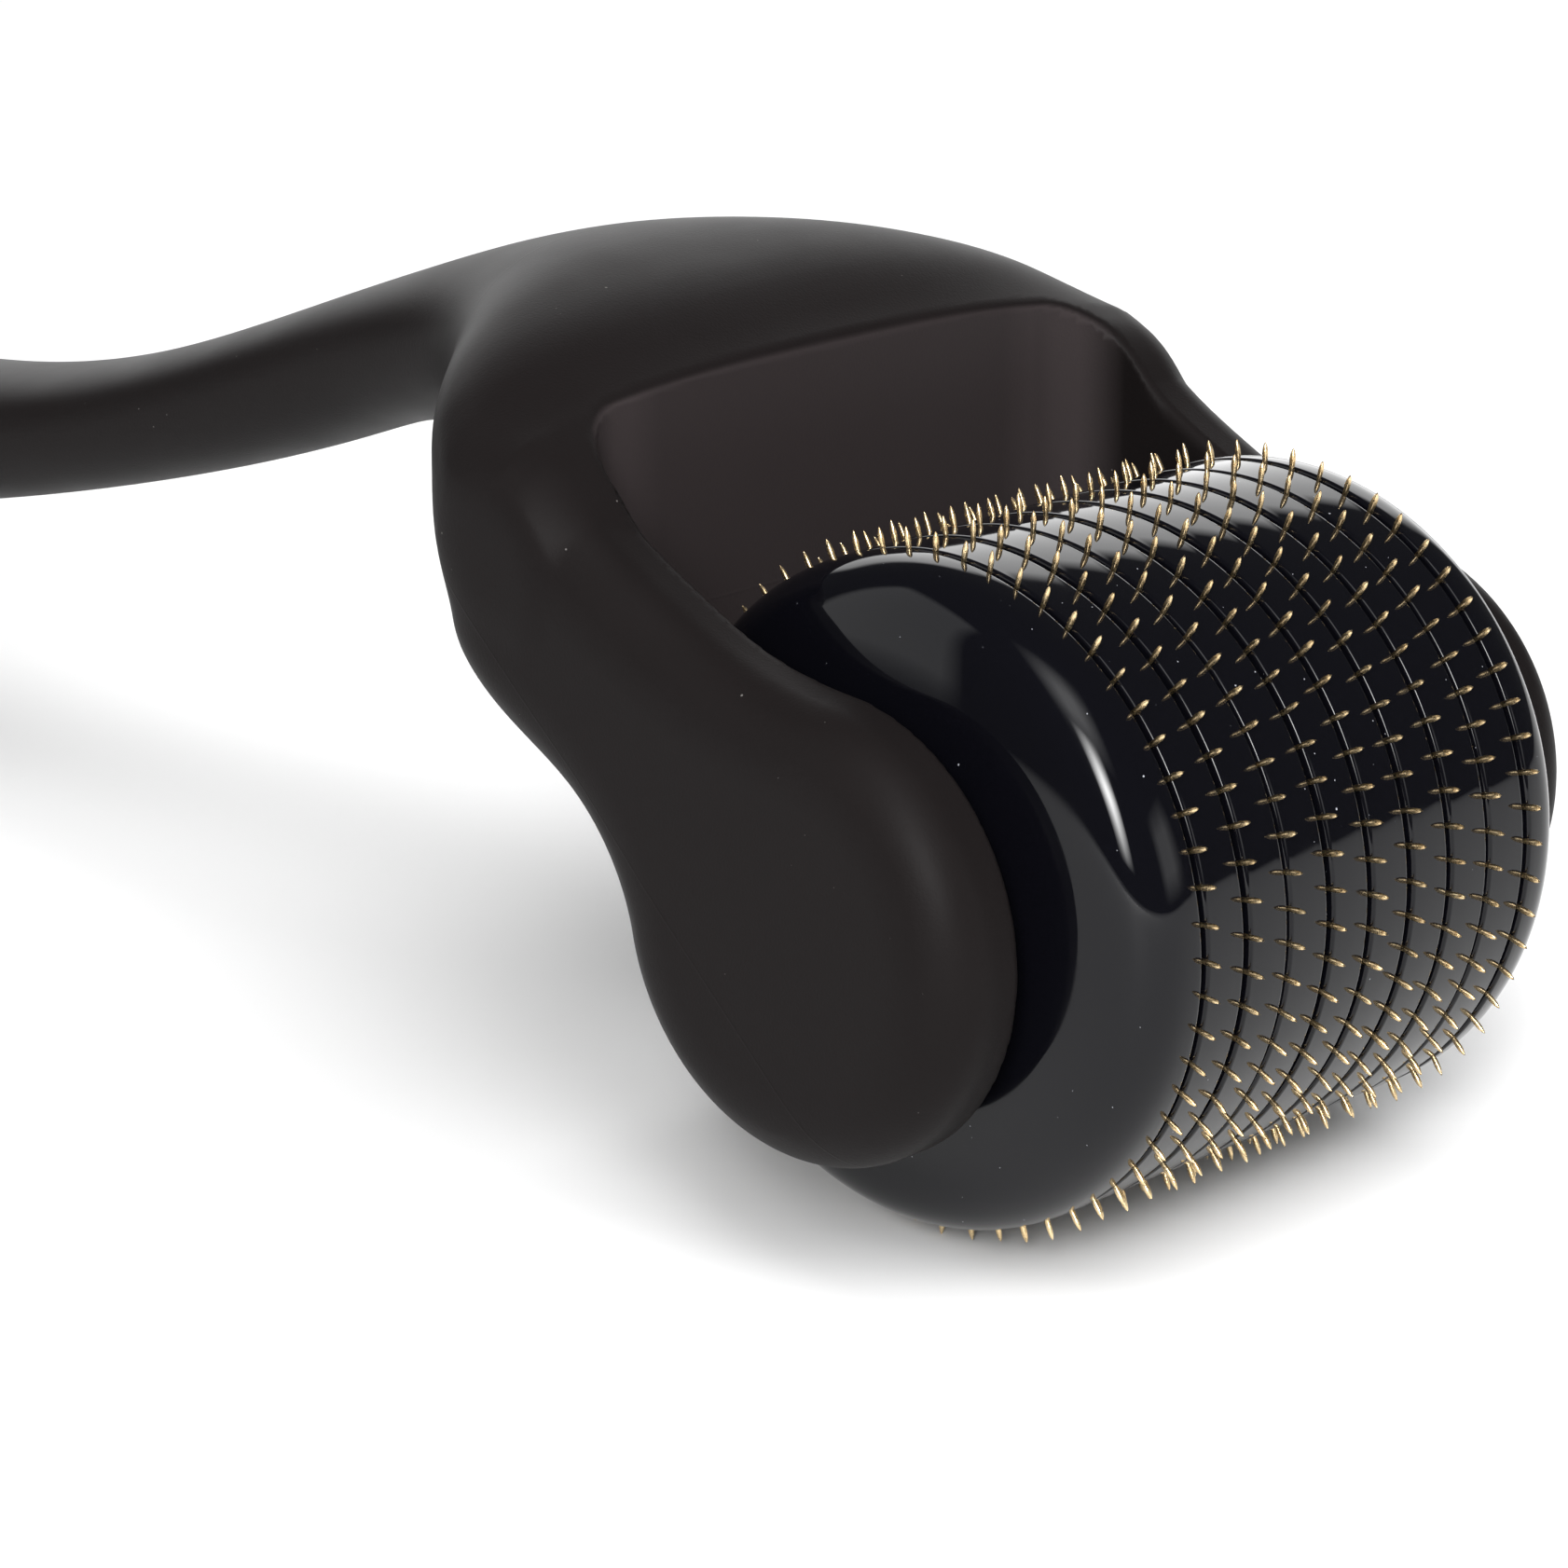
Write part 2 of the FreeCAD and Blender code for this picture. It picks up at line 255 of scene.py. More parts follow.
def cap_profile(side):
    """Section of an end cap: rounded seam edge, land, rim and crown in one curve, thrust collar."""
    last = -RING_Y[0] if side < 0 else RING_Y[-1]
    seam = last + SEAM_HALF[0 if side < 0 else -1]
    edge = DRUM_R - SEAM_EDGE
    bore = CORE_R + BOND_GAP
    axle_bore = AXLE_R + BOND_GAP
    rim_y = last + CAP_LAND
    crown_y = rim_y + CAP_RIM + CAP_CROWN
    pocket_y = crown_y - CAP_WEB
    rim_arc = arc((DRUM_R - CAP_RIM, rim_y), CAP_RIM, 0, RIM_TURN, 30)
    leaving = math.radians(RIM_TURN)
    crown = clamped_spline([rim_arc[-1], (7.3, crown_y - 0.52), (COLLAR_R + 0.2, crown_y)],
                           (-math.sin(leaving), math.cos(leaving)), (-1.0, 0.03), 60)
    half = np.concatenate([
        [(bore, last), (HUB_R, last), (HUB_R, seam), (edge - SEAM_NECK, seam)],
        arc((edge, seam + SEAM_EDGE), SEAM_EDGE, -90, 0, 6),
        [(DRUM_R, seam + SEAM_EDGE + SEAM_STEP)],
        soften(np.concatenate([[(DRUM_R, rim_y - 0.2)], rim_arc, crown[1:]])),
        [(COLLAR_R, crown_y + 0.02)],
        arc((COLLAR_R - COLLAR_EDGE, COLLAR_Y - COLLAR_EDGE), COLLAR_EDGE, 0, 90, 5),
        [(axle_bore, COLLAR_Y), (axle_bore, pocket_y), (bore, pocket_y)],
    ])
    return half * (1, side)


def soften(points, count=90, passes=24):
    """A profile spaced evenly, its curvature evened out, its two ends kept."""
    along = np.concatenate([[0], np.cumsum(np.linalg.norm(np.diff(points, axis=0), axis=1))])
    where = np.linspace(0, along[-1], count)
    line = np.stack([np.interp(where, along, points[:, k]) for k in range(2)], 1)
    for _ in range(passes):
        line[1:-1] = 0.5 * line[1:-1] + 0.25 * (line[:-2] + line[2:])
    return line


def needle_ring(number, rng):
    """Sixty ground needles in one seam, each a slim oval rod with a pencil point.

    Each needle is a grid: along its length by eight sides round it. It leans and
    turns a little, and is a little shorter than nominal, by the given random
    draws. No point lies outside the tip radius.
    """
    shortening, spread, turning, leaning = 0.05, 0.06, 0.5, 0.035
    oval = (1.1, 0.92)
    lean_from = DRUM_R - 0.4
    out = TIP_R - DRUM_R
    along = np.array([ROOT_R, DRUM_R - 0.3, DRUM_R, DRUM_R + 0.25 * out, TIP_R - 0.55 * out,
                      TIP_R - 0.32 * out, TIP_R - 0.13 * out, TIP_R])
    wide = np.array([0.080, 0.080, 0.084, 0.094, 0.098, 0.084, 0.050, 0.004])
    sides = 8
    a = np.arange(sides) * 2 * math.pi / sides
    parts = []
    for pin in range(PINS_PER_RING):
        lean_y, lean_t, twist, short, thick = rng.normal(0, 1, 5)
        radial = along[:, None] - np.clip(along[:, None] - DRUM_R, 0, None) * shortening * abs(short)
        lift = np.clip(along[:, None] - lean_from, 0, None)
        w = wide[:, None] * (1 + spread * thick)
        turn = a + turning * twist
        across = w * oval[0] * np.cos(turn) + leaning * lean_t * lift
        axial = w * oval[1] * np.sin(turn) + leaning * lean_y * lift
        radial = np.broadcast_to(radial, across.shape)
        theta = math.radians(RING_PHASE[number] + pin * 360 / PINS_PER_RING)
        c, s = math.cos(theta), math.sin(theta)
        limit = TIP_R / np.maximum(np.hypot(radial, across), TIP_R)
        x = (radial * c - across * s) * limit
        z = (radial * s + across * c) * limit
        grid = np.stack([x, RING_Y[number] + axial, z], -1)
        root = list(range(sides))
        tip = list(range(grid.size // 3 - sides, grid.size // 3))[::-1]
        parts.append((grid.reshape(-1, 3), quads(len(along), sides, False, True), [root, tip]))
    return parts


def adhesive_bed(number):
    """Ring of adhesive at the needles' roots, a rounded rectangle turned about the axle."""
    y = RING_Y[number]
    half = SEAM_HALF[number]
    inner, shoulder, crest = HUB_R + BOND_GAP, HUB_R + 0.8, HUB_R + 0.9
    profile = [(inner, y - half), (shoulder, y - half), (crest, y), (shoulder, y + half), (inner, y + half)]
    return turned(np.array(profile), 120)


# ---------------------------------------------------------------- fork and handle

def handle_stations():
    """Rounded sections of bridge, neck and grip, drawn smoothly from a short list.

    Columns: distance behind the axle, half width, low, high, squareness.
    """
    neck = 4.25
    grip = 6.2
    head = ARM_OUT - neck
    low = 5.7
    high = 14.5
    length = HANDLE_END - WALL
    stations = np.array([
        (WALL - 3.0, ARM_OUT - 0.4, low - 0.4, high - 1.6, 2.8),
        (WALL, ARM_OUT - 0.25, low, high, 3.0),
        (WALL + 2.7, ARM_OUT - 0.6, low + 0.5, CREST - 1.0, 2.7),
        (WALL + 5.2, neck + 0.81 * head, low + 1.4, CREST - 0.3, 2.6),
        (WALL + 7.7, neck + 0.57 * head, low + 2.3, CREST - 0.05, 2.6),
        (WALL + 10.6, neck + 0.32 * head, low + 3.0, CREST - 0.25, 2.4),
        (WALL + 14.0, neck + 0.14 * head, low + 3.3, CREST - 1.05, 2.3),
        (WALL + 18.7, neck + 0.04 * head, low + 3.0, CREST - 2.6, 2.2),
        (WALL + 24.7, neck, low + 1.1, CREST - 4.8, 2.2),
        (WALL + 34.7, neck, low - 2.1, CREST - 8.4, 2.2),
        (WALL + 46.7, neck + 0.2, low - 5.1, CREST - 11.1, 2.3),
        (WALL + 0.53 * length, neck + 0.8, FLOOR_Z + 8.9, FLOOR_Z + 16.3, 2.4),
        (WALL + 0.7 * length, neck + 1.55, FLOOR_Z + 4.8, FLOOR_Z + 13.4, 2.5),
        (WALL + 0.86 * length, grip - 0.05, FLOOR_Z + 1.45, FLOOR_Z + 10.5, 2.5),
        (HANDLE_END - 6.0, grip - 0.4, FLOOR_Z + 0.3, FLOOR_Z + 8.2, 2.4),
        (HANDLE_END - 2.6, grip - 1.7, FLOOR_Z + 0.7, FLOOR_Z + 7.1, 2.3),
        (HANDLE_END - 0.9, grip - 3.2, FLOOR_Z + 1.6, FLOOR_Z + 5.9, 2.2),
        (HANDLE_END - 0.15, grip - 4.9, FLOOR_Z + 2.9, FLOOR_Z + 4.6, 2.0),
    ])
    start, end = stations[1] - stations[0], stations[-1] - stations[-2]
    return clamped_spline(stations, start / np.linalg.norm(start), end / np.linalg.norm(end), 900)


def arm_outline():
    """Side outline of an arm, anticlockwise: the round boss, then the rise to the bridge."""
    low, top = math.radians(192), math.radians(86)
    t = np.linspace(low, top + 2 * math.pi, 160)
    boss = np.stack([BOSS_R * np.cos(t), BOSS_R * np.sin(t)], 1)
    root = (-WALL - 2.75, 5.9)
    shoulder = (-WALL, 13.05)
    above = clamped_spline([boss[-1], (-0.27 * WALL, BOSS_R + 0.7), (-0.5 * WALL, BOSS_R + 1.95),
                            (-0.74 * WALL, 11.15), shoulder],
                           (-math.sin(top), math.cos(top)), (-0.96, 0.29), 70)
    behind = clamped_spline([shoulder, (-WALL - 2.95, 10.4), root], (-0.96, -0.29), (0.6, -0.8), 40)
    below = clamped_spline([root, (-1.0 * WALL, 3.75), (-0.785 * WALL, 2.15), boss[0]],
                           (0.6, -0.8), (-math.sin(low), math.cos(low)), 50)
    return np.concatenate([boss[:-1], above[:-1], behind[:-1], below[:-1]])


def distance_table(outline, low, high, cell):
    """Signed distance to a closed outline on a plane grid, negative inside."""
    gx = np.arange(low[0], high[0], cell)
    gz = np.arange(low[1], high[1], cell)
    x, z = [g.ravel()[:, None] for g in np.meshgrid(gx, gz, indexing="ij")]
    ax, az = outline.T
    bx, bz = np.roll(outline, -1, 0).T
    ex, ez = bx - ax, bz - az
    along = np.clip(((x - ax) * ex + (z - az) * ez) / (ex**2 + ez**2), 0, 1)
    near = np.sqrt(((x - ax - along * ex)**2 + (z - az - along * ez)**2).min(1))
    rising = (az > z) != (bz > z)
    crossed = rising & (x < ax + (z - az) * ex / np.where(ez == 0, 1e-9, ez))
    inside = crossed.sum(1) % 2 == 1
    return np.where(inside, -near, near).reshape(len(gx), len(gz))


def read_table(table, low, cell, x, z):
    """Value of a plane grid at (x, z), straight between its cells and held at its edges."""
    i = np.clip((x - low[0]) / cell, 0, table.shape[0] - 1.001)
    j = np.clip((z - low[1]) / cell, 0, table.shape[1] - 1.001)
    i0, j0 = i.astype(int), j.astype(int)
    u, v = i - i0, j - j0
    return ((1 - u) * ((1 - v) * table[i0, j0] + v * table[i0, j0 + 1])
            + u * ((1 - v) * table[i0 + 1, j0] + v * table[i0 + 1, j0 + 1]))


def rounded_overlap(a, b, radius):
    """Distance to the overlap of two solids, with their shared edge rounded to a radius."""
    p, q = a + radius, b + radius
    return np.hypot(np.maximum(p, 0), np.maximum(q, 0)) + np.minimum(np.maximum(p, q), 0) - radius


def blended_union(a, b, reach):
    """Distance to two solids joined by a soft fillet: min(a, b) - h^2 reach / 4."""
    h = np.clip(1 - np.abs(a - b) / reach, 0, 1)
    return np.minimum(a, b) - h * h * reach / 4


SECTIONS = handle_stations()
ARM_LOW, ARM_HIGH, ARM_CELL = (-22.0, -13.0), (9.5, 19.0), 0.1
ARM_TABLE = distance_table(arm_outline(), ARM_LOW, ARM_HIGH, ARM_CELL)


def fork_field(x, y, z):
    """Signed distance, nearly, to the moulding's surface; it is zero on the surface.

    Handle: r (1 - 1 / f) with f = ((y / w)^n + ((z - c) / h)^n)^(1 / n), shrinking
    by the square of the way past the bridge's wall.
    Arm: its outline carried along y, with an oval pillow edge a wide and b high.
    Their blend is held inside the planes of the arms' outer faces.
    Room: a slot with rounded upright corners, taken away with softened edges.
    """
    half, low, high, n = [np.interp(-x, SECTIONS[:, 0], SECTIONS[:, k]) for k in range(1, 5)]
    rise = z - (low + high) / 2
    f = ((np.abs(y) / half)**n + (np.abs(rise) * 2 / (high - low))**n)**(1 / n)
    handle = np.hypot(y, rise) * (1 - 1 / np.maximum(f, 0.02))
    shrinking = 0.45 * np.maximum(x + WALL - 0.8, 0)**2
    handle = np.maximum(handle + shrinking, np.maximum(-x - SECTIONS[-1, 0], x - HANDLE_FRONT))

    a, b = ARM_PILLOW
    side = np.abs(y)
    flat = read_table(ARM_TABLE, ARM_LOW, ARM_CELL, x, z)
    arm = b * rounded_overlap(flat / a, (side - ARM_OUT) / b, 1.0)
    solid = rounded_overlap(blended_union(handle, arm, ARM_BLEND), side - ARM_OUT, FACE_EDGE)

    px, py = x + WALL, ARM_IN - side
    in_corner = (px < CORNER_R) & (py < CORNER_R)
    room = np.where(in_corner, CORNER_R - np.hypot(CORNER_R - px, CORNER_R - py), np.minimum(px, py))
    solid = rounded_overlap(solid, room, ROOM_EDGE)

    socket = np.minimum(AXLE_R + RUN_CLEARANCE - np.hypot(x, z), AXLE_END + END_PLAY - side)
    return rounded_overlap(solid, socket, SOCKET_EDGE)


def surface_of(field, low, high, cell, band=5.0, rounds=3):
    """Even quad skin of the places where a field is zero, each point moved onto it.

    The field is kept within a band for the grid. In each round the points move
    halfway to their neighbours' mean p' and then back to the surface by Newton
    steps p - g v / |g|^2, with v the field's value and g its gradient.
    """
    axes = [np.arange(a, b, cell) for a, b in zip(low, high)]
    x, y, z = np.meshgrid(*axes, indexing="ij", sparse=True)
    grid = openvdb.FloatGrid(band)
    grid.copyFromArray(np.clip(field(x, y, z), -band, band).astype(np.float32))
    points, faces = grid.convertToQuads()
    points = points.astype(float) * cell + np.array([a[0] for a in axes])
    faces = faces.astype(int)
    here = faces.ravel()
    there = np.roll(faces, -1, 1).ravel()
    ends = np.concatenate([here, there])
    others = np.concatenate([there, here])
    count = np.bincount(ends)[:, None]
    for _ in range(rounds):
        mean = np.stack([np.bincount(ends, points[others, k]) for k in range(3)], 1) / count
        points = points + 0.5 * (mean - points)
        for _ in range(3):
            value, slope = value_and_slope(field, points)
            points = points - slope * (value / np.maximum((slope**2).sum(1), 0.05))[:, None]
    return points, faces, value_and_slope(field, points)[1]


def value_and_slope(field, points, step=0.004):
    """A field and its gradient at points, by central differences."""
    value = field(*points.T)
    slope = [field(*(points + e).T) - field(*(points - e).T) for e in np.eye(3) * step]
    return value, np.stack(slope, 1) / (2 * step)


def fork_handle_skin(material):
    """The one-piece moulding of arms, bridge, neck and grip, shaded by its field's gradient."""
    room = 0.6
    low = (-HANDLE_END - room, -ARM_OUT - room, FLOOR_Z - 0.5)
    high = (BOSS_R + room, ARM_OUT + room, CREST + room)
    points, faces, slope = surface_of(fork_field, low, high, SKIN_CELL)
    piece = show("fork_handle_skin", solid_mesh("fork_handle_skin", [(points, faces, [])]), material)
    normals = slope / np.linalg.norm(slope, axis=1, keepdims=True)
    piece.data.normals_split_custom_set_from_vertices(normals)
    return piece


# ---------------------------------------------------------------- shader node groups

def new_group(name, inputs, outputs):
    """Empty shader node group with float inputs (name, default) and outputs."""
    group = bpy.data.node_groups.new(name, "ShaderNodeTree")
    for label, value in inputs:
        socket = group.interface.new_socket(label, in_out="INPUT", socket_type="NodeSocketFloat")
        socket.default_value = value
    for label in outputs:
        group.interface.new_socket(label, in_out="OUTPUT", socket_type="NodeSocketFloat")
    return group


class Tree:
    """Short hand for adding and joining nodes in one tree."""

    def __init__(self, tree):
        self.tree = tree

    def node(self, kind, **settings):
        """New shader node of a kind, with its settings."""
        made = self.tree.nodes.new("ShaderNode" + kind)
        for key, value in settings.items():
            setattr(made, key, value)
        return made

    def join(self, source, target):
        """Link from an output socket to an input socket."""
        self.tree.links.new(source, target)

    def math(self, operation, a, b=None):
        """Result of a maths node on sockets or numbers."""
        made = self.node("Math", operation=operation)
        for value, socket in zip((a, b), made.inputs):
            if value is None:
                continue
            if isinstance(value, (int, float)):
                socket.default_value = value
            else:
                self.join(value, socket)
        return made.outputs[0]

    def between(self, value, low, high, out_low=0.0, out_high=1.0):
        """Value mapped from low..high to out_low..out_high, held at the ends."""
        made = self.node("MapRange")
        made.clamp = True
        self.join(value, made.inputs["Value"])
        ends = {"From Min": low, "From Max": high, "To Min": out_low, "To Max": out_high}
        for label, number in ends.items():
            made.inputs[label].default_value = number
        return made.outputs[0]

    def mix(self, factor, a, b):
        """Colour mixed from a to b by a factor socket. a and b are colours or sockets."""
        made = self.node("Mix", data_type="RGBA")
        self.join(factor, made.inputs["Factor"])
        for value, socket in ((a, made.inputs[6]), (b, made.inputs[7])):
            if isinstance(value, tuple):
                socket.default_value = value + (1.0,)
            else:
                self.join(value, socket)
        return made.outputs[2]


def dust_group():
    """Specks of dust: small spots round scattered cell centres, most of them left out."""
    group = new_group("dust_specks", [("Cells per mm", 0.7), ("Radius mm", 0.03), ("Share", 0.4)], ["Mask"])
    t = Tree(group)
    coords = t.node("TexCoord")
    given = group.nodes.new("NodeGroupInput")
    result = group.nodes.new("NodeGroupOutput")
    scale = t.math("MULTIPLY", given.outputs["Cells per mm"], 1 / MM)
    cells = t.node("TexVoronoi", feature="F1", voronoi_dimensions="3D")
    t.join(coords.outputs["Object"], cells.inputs["Vector"])
    t.join(scale, cells.inputs["Scale"])
    reach = t.math("MULTIPLY", given.outputs["Radius mm"], given.outputs["Cells per mm"])
    split = t.node("SeparateColor")
    t.join(cells.outputs["Color"], split.inputs[0])
    size = t.math("MULTIPLY", reach, t.math("ADD", split.outputs[1], 0.4))
    inside = t.math("LESS_THAN", cells.outputs["Distance"], size)
    kept = t.math("LESS_THAN", split.outputs[0], given.outputs["Share"])
    t.join(t.math("MULTIPLY", inside, kept), result.inputs["Mask"])
    return group


def grain_group():
    """Fine moulded grain: noise at one size for height, and a broad mottle."""
    group = new_group("moulded_grain", [("Grain mm", 0.12), ("Mottle mm", 6.0)], ["Height", "Mottle"])
    t = Tree(group)
    coords = t.node("TexCoord")
    given = group.nodes.new("NodeGroupInput")
    result = group.nodes.new("NodeGroupOutput")
    for label, out, detail in (("Grain mm", "Height", 2.0), ("Mottle mm", "Mottle", 3.0)):
        noise = t.node("TexNoise")
        noise.inputs["Detail"].default_value = detail
        noise.inputs["Roughness"].default_value = 0.55
        t.join(coords.outputs["Object"], noise.inputs["Vector"])
        t.join(t.math("DIVIDE", 1 / MM, given.outputs[label]), noise.inputs["Scale"])
        t.join(noise.outputs["Fac"], result.inputs[out])
    return group


DUST = dust_group()
GRAIN = grain_group()


def new_material(name):
    """Material with one Principled shader, as (material, its Tree, the shader)."""
    material = bpy.data.materials.new(name)
    material.use_nodes = True
    t = Tree(material.node_tree)
    shader = material.node_tree.nodes["Principled BSDF"]
    return material, t, shader


def placed(t, group, **values):
    """A node group placed in a material with its own values."""
    node = t.node("Group")
    node.node_tree = group
    for label, value in values.items():
        node.inputs[label.replace("_", " ")].default_value = value
    return node


def bump(t, height, distance_mm, strength=1.0, below=None):
    """Bump node with its height in millimetres."""
    node = t.node("Bump")
    node.inputs["Strength"].default_value = strength
    node.inputs["Distance"].default_value = distance_mm * MM
    t.join(height, node.inputs["Height"])
    if below is not None:
        t.join(below, node.inputs["Normal"])
    return node.outputs["Normal"]


def painted_wall_light_mask(t):
    """Mask of painted bounce light: one on the bridge's wall behind the drum, which it makes paler, fading
    out round its upright corners.
    """
    coords = t.node("TexCoord")
    split = t.node("SeparateXYZ")
    t.join(coords.outputs["Object"], split.inputs[0])
    wall = float(to_row((-WALL, 0, 0))[0])
    front = t.between(split.outputs[0], wall - 0.15 * MM, wall - 0.05 * MM)
    corner = t.between(split.outputs[0], wall + 0.5 * MM, wall + 2.0 * MM, 1.0, 0.0)
    side = t.math("ABSOLUTE", split.outputs[1])
    inside = t.math("LESS_THAN", side, float(ARM_IN - 0.02) * MM)
    paler = t.between(side, float(ARM_IN - 4.2) * MM, float(ARM_IN - 2.8) * MM, 0.7, 1.0)
    facing = t.node("SeparateXYZ")
    t.join(coords.outputs["Normal"], facing.inputs[0])
    upright = t.between(facing.outputs[2], 0.35, 0.75, 1.0, 0.0)
    mask = t.math("MULTIPLY", t.math("MULTIPLY", front, corner), t.math("MULTIPLY", inside, paler))
    return t.math("MULTIPLY", mask, upright)


def soft_touch():
    """Matt soft-touch black: fine grain, faint mottle, dust, the mould's parting line, and painted bounce
    light that makes the bridge's wall behind the drum paler.
    """
    material, t, shader = new_material("soft_touch_black")
    grain = placed(t, GRAIN, Grain_mm=0.10, Mottle_mm=7.0)
    dust = placed(t, DUST, Cells_per_mm=0.55, Radius_mm=0.045, Share=0.35)
    fine_dust = placed(t, DUST, Cells_per_mm=1.7, Radius_mm=0.022, Share=0.16)
    specks = t.math("MAXIMUM", dust.outputs["Mask"], fine_dust.outputs["Mask"])
    base = t.mix(grain.outputs["Mottle"], (0.0066, 0.0054, 0.0054), (0.0088, 0.0073, 0.0073))
    # painted bounce light: the bridge's wall behind the drum gets a paler base colour, standing in for light
    # thrown back onto it
    base = t.mix(painted_wall_light_mask(t), base, (0.0300, 0.0245, 0.0250))
    t.join(t.mix(t.math("MULTIPLY", specks, 0.5), base, (0.20, 0.19, 0.18)), shader.inputs["Base Color"])
    rough = t.between(grain.outputs["Mottle"], 0.3, 0.7, 0.44, 0.50)
    t.join(t.math("ADD", rough, t.math("MULTIPLY", specks, 0.2)), shader.inputs["Roughness"])
    coords = t.node("TexCoord")
    line = t.node("VectorMath", operation="DOT_PRODUCT")
    t.join(coords.outputs["Object"], line.inputs[0])
    start = to_row((-13.9, 0, 8.1))
    end = to_row((-10.3, 0, 4.85))
    across = np.array([-(end - start)[2], 0, (end - start)[0]])
    across /= np.linalg.norm(across)
    line.inputs[1].default_value = tuple(across)
    off = t.math("ABSOLUTE", t.math("SUBTRACT", line.outputs["Value"], float(across @ start)))
    seam = t.between(off, 0.0, 0.06 * MM, 1.0, 0.0)
    height = t.math("ADD", grain.outputs["Height"], t.math("MULTIPLY", seam, 0.8))
    t.join(bump(t, height, 0.012, 0.6), shader.inputs["Normal"])
    shader.inputs["Specular IOR Level"].default_value = 0.06
    return material


def gloss_black():
    """Polished black plastic: faint smears and dust on a mirror-smooth face."""
    material, t, shader = new_material("gloss_black")
    wave = placed(t, GRAIN, Grain_mm=2.6, Mottle_mm=5.0)
    dust = placed(t, DUST, Cells_per_mm=0.9, Radius_mm=0.030, Share=0.30)
    fine_dust = placed(t, DUST, Cells_per_mm=2.2, Radius_mm=0.018, Share=0.40)
    specks = t.math("MAXIMUM", dust.outputs["Mask"], fine_dust.outputs["Mask"])
    t.join(t.mix(specks, (0.0022, 0.0022, 0.0034), (0.32, 0.33, 0.36)), shader.inputs["Base Color"])
    smear = t.between(wave.outputs["Mottle"], 0.48, 0.75, 0.035, 0.13)
    t.join(t.math("ADD", smear, t.math("MULTIPLY", specks, 0.5)), shader.inputs["Roughness"])
    t.join(bump(t, wave.outputs["Height"], 0.004, 0.5), shader.inputs["Normal"])
    shader.inputs["Specular IOR Level"].default_value = 0.27
    return material


def needle_gold():
    """Gold-coloured ground steel: fine lengthwise unevenness and patches of deeper colour."""
    material, t, shader = new_material("needle_gold")
    grain = placed(t, GRAIN, Grain_mm=0.07, Mottle_mm=0.5)
    t.join(t.mix(grain.outputs["Mottle"], (0.80, 0.53, 0.24), (1.0, 0.84, 0.54)), shader.inputs["Base Color"])
    t.join(t.between(grain.outputs["Height"], 0.3, 0.7, 0.22, 0.38), shader.inputs["Roughness"])
    t.join(bump(t, grain.outputs["Height"], 0.012, 0.5), shader.inputs["Normal"])
    shader.inputs["Metallic"].default_value = 1.0
    return material


def amber_adhesive():
    """Dark cured adhesive at the needles' roots."""
    material, t, shader = new_material("amber_adhesive")
    grain = placed(t, GRAIN, Grain_mm=0.3, Mottle_mm=1.0)
    base = t.mix(grain.outputs["Mottle"], (0.010, 0.006, 0.004), (0.022, 0.014, 0.008))
    t.join(base, shader.inputs["Base Color"])
    shader.inputs["Roughness"].default_value = 0.3
    return material


def ground_steel():
    """Steel axle: bright, with rings of grinding marks along its length."""
    material, t, shader = new_material("ground_steel")
    coords = t.node("TexCoord")
    rings = t.node("TexWave", wave_type="BANDS", bands_direction="Y")
    rings.inputs["Scale"].default_value = 900.0
    rings.inputs["Distortion"].default_value = 3.0
    t.join(coords.outputs["Object"], rings.inputs["Vector"])
    t.join(t.mix(rings.outputs["Fac"], (0.50, 0.50, 0.52), (0.66, 0.66, 0.68)), shader.inputs["Base Color"])
    t.join(t.between(rings.outputs["Fac"], 0, 1, 0.22, 0.36), shader.inputs["Roughness"])
    t.join(bump(t, rings.outputs["Fac"], 0.003, 0.4), shader.inputs["Normal"])
    shader.inputs["Metallic"].default_value = 1.0
    return material


def core_plastic():
    """Plain black moulded core."""
    material, t, shader = new_material("core_plastic")
    grain = placed(t, GRAIN, Grain_mm=0.15, Mottle_mm=3.0)
    base = t.mix(grain.outputs["Mottle"], (0.012, 0.012, 0.013), (0.022, 0.022, 0.023))
    t.join(base, shader.inputs["Base Color"])
    t.join(bump(t, grain.outputs["Height"], 0.01, 0.4), shader.inputs["Normal"])
    shader.inputs["Roughness"].default_value = 0.5
    return material


SOFT_TOUCH = soft_touch()
GLOSS = gloss_black()
GOLD = needle_gold()
ADHESIVE = amber_adhesive()
STEEL = ground_steel()
CORE = core_plastic()


# ---------------------------------------------------------------- putting the pieces together

def stand_for(piece, node, body):
    """The piece rides on the node's body and is shown in its place."""
    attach(piece, body)
    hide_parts(node)


stand_for(fork_handle_skin(SOFT_TOUCH), "fork_handle", "handle")

for side, node in ((-1, "end_cap_left"), (1, "end_cap_right")):
    cap = show(node + "_skin", solid_mesh(node + "_skin", [turned(cap_profile(side))]), GLOSS)
    stand_for(cap, node, "roller")

for number in range(DISC_COUNT):
    node = f"spacer_disc_{number + 1}"
    disc = show(node + "_skin", solid_mesh(node + "_skin", [turned(disc_profile(number))]), GLOSS)
    stand_for(disc, node, "roller")

for number in range(RING_COUNT):
    node = f"needle_ring_{number + 1}"
    rng = np.random.default_rng(40 + number)
    pins = needle_ring(number, rng)
    pin_faces = sum(len(part[1]) + len(part[2]) for part in pins)
    ring = show(node + "_pins", solid_mesh(node + "_pins", pins + [adhesive_bed(number)]), GOLD, ADHESIVE)
    slots = np.zeros(len(ring.data.polygons), np.int32)
    slots[pin_faces:] = 1
    ring.data.polygons.foreach_set("material_index", slots)
    stand_for(ring, node, "roller")

for node, material in (("axle_pin", STEEL), ("drum_core", CORE)):
    piece = frame["nodes"][node]
    piece.data.materials.clear()
    piece.data.materials.append(material)


# ---------------------------------------------------------------- camera, floor and light

